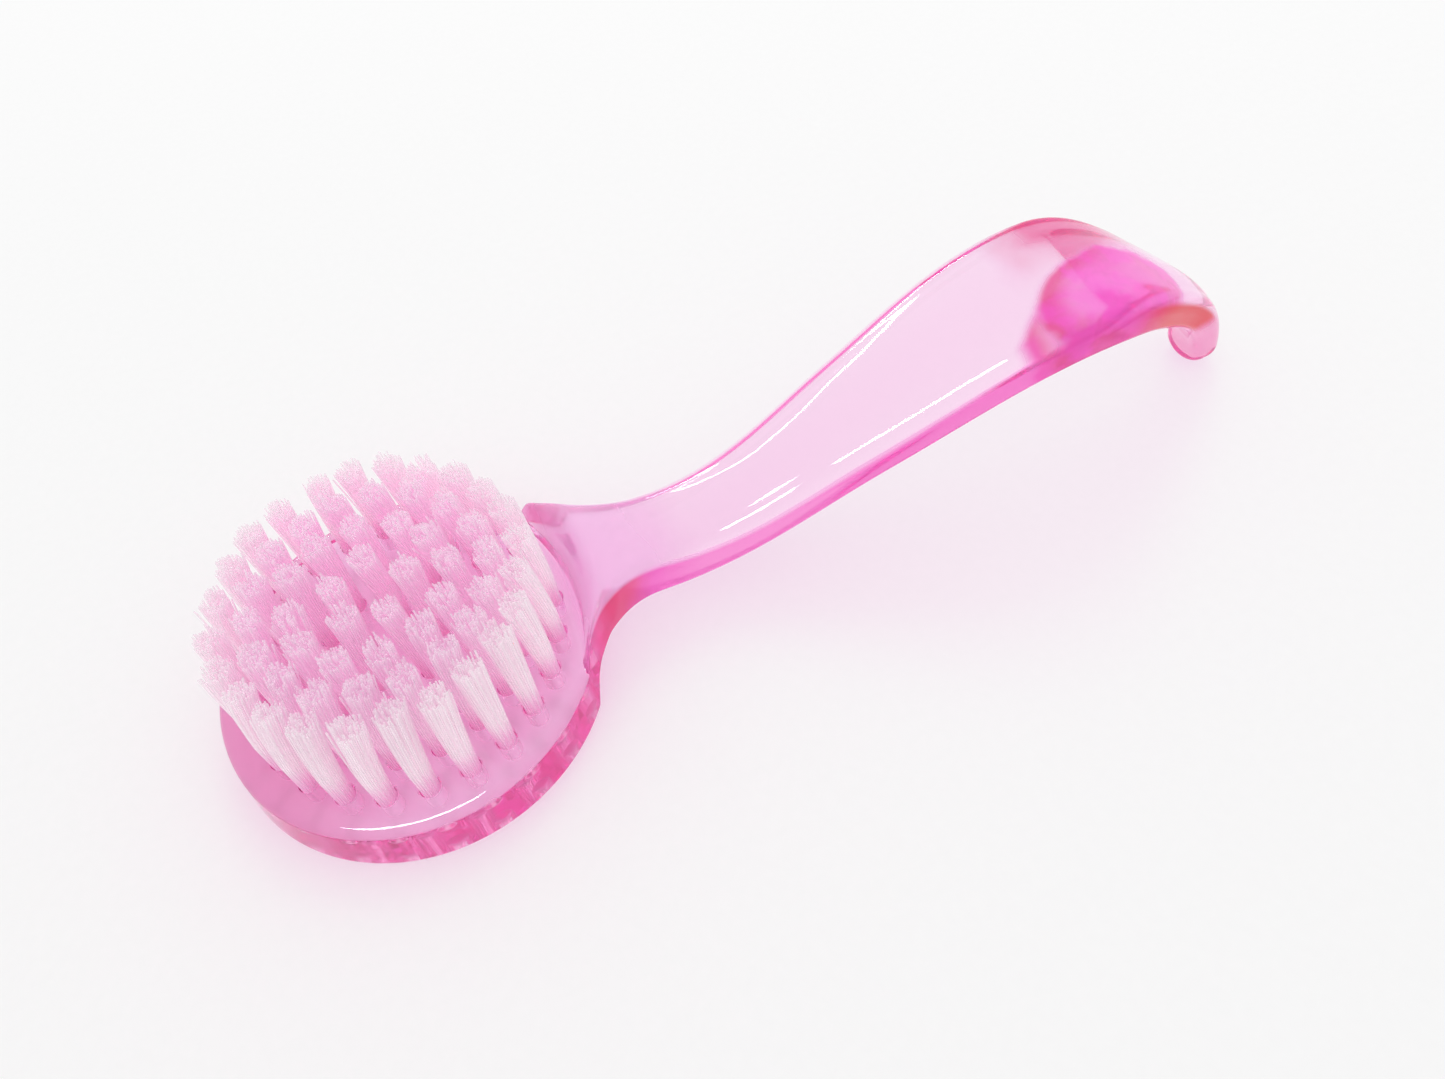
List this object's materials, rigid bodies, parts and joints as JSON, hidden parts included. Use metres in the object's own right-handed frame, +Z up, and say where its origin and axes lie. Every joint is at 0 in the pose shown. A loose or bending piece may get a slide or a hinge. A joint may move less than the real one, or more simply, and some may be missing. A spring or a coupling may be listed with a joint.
{
  "type": "nail dust brush",
  "caption": "Round nail dust brush of clear pink plastic, with upright nylon tufts on a disc head and an arched handle that ends in a small hook.",
  "frame": {"origin": "middle of the head's flat back, on the surface that the brush lies on", "axes": "+Z up through the bristles, +X along the handle to its hooked end, +Y across the handle"},
  "size_m": [0.114, 0.038, 0.0229],
  "materials": {
    "clear_pink_plastic": "clear, glossy, moulded",
    "pale_pink_nylon": "translucent filament"
  },
  "bodies": {
    "root": {"head_and_handle": "clear_pink_plastic", "tuft_outer_01": "pale_pink_nylon", "tuft_outer_02": "pale_pink_nylon", "tuft_outer_03": "pale_pink_nylon", "tuft_outer_04": "pale_pink_nylon", "tuft_outer_05": "pale_pink_nylon", "tuft_outer_06": "pale_pink_nylon", "tuft_outer_07": "pale_pink_nylon", "tuft_outer_08": "pale_pink_nylon", "tuft_outer_09": "pale_pink_nylon", "tuft_outer_10": "pale_pink_nylon", "tuft_outer_11": "pale_pink_nylon", "tuft_outer_12": "pale_pink_nylon", "tuft_outer_13": "pale_pink_nylon", "tuft_outer_14": "pale_pink_nylon", "tuft_outer_15": "pale_pink_nylon", "tuft_outer_16": "pale_pink_nylon", "tuft_outer_17": "pale_pink_nylon", "tuft_outer_18": "pale_pink_nylon", "tuft_outer_19": "pale_pink_nylon", "tuft_outer_20": "pale_pink_nylon", "tuft_outer_21": "pale_pink_nylon", "tuft_outer_22": "pale_pink_nylon", "tuft_outer_23": "pale_pink_nylon", "tuft_outer_24": "pale_pink_nylon", "tuft_second_01": "pale_pink_nylon", "tuft_second_02": "pale_pink_nylon", "tuft_second_03": "pale_pink_nylon", "tuft_second_04": "pale_pink_nylon", "tuft_second_05": "pale_pink_nylon", "tuft_second_06": "pale_pink_nylon", "tuft_second_07": "pale_pink_nylon", "tuft_second_08": "pale_pink_nylon", "tuft_second_09": "pale_pink_nylon", "tuft_second_10": "pale_pink_nylon", "tuft_second_11": "pale_pink_nylon", "tuft_second_12": "pale_pink_nylon", "tuft_second_13": "pale_pink_nylon", "tuft_second_14": "pale_pink_nylon", "tuft_second_15": "pale_pink_nylon", "tuft_second_16": "pale_pink_nylon", "tuft_second_17": "pale_pink_nylon", "tuft_second_18": "pale_pink_nylon", "tuft_third_01": "pale_pink_nylon", "tuft_third_02": "pale_pink_nylon", "tuft_third_03": "pale_pink_nylon", "tuft_third_04": "pale_pink_nylon", "tuft_third_05": "pale_pink_nylon", "tuft_third_06": "pale_pink_nylon", "tuft_third_07": "pale_pink_nylon", "tuft_third_08": "pale_pink_nylon", "tuft_third_09": "pale_pink_nylon", "tuft_third_10": "pale_pink_nylon", "tuft_third_11": "pale_pink_nylon", "tuft_third_12": "pale_pink_nylon", "tuft_inner_01": "pale_pink_nylon", "tuft_inner_02": "pale_pink_nylon", "tuft_inner_03": "pale_pink_nylon", "tuft_inner_04": "pale_pink_nylon", "tuft_inner_05": "pale_pink_nylon"}
  },
  "joints": []
}
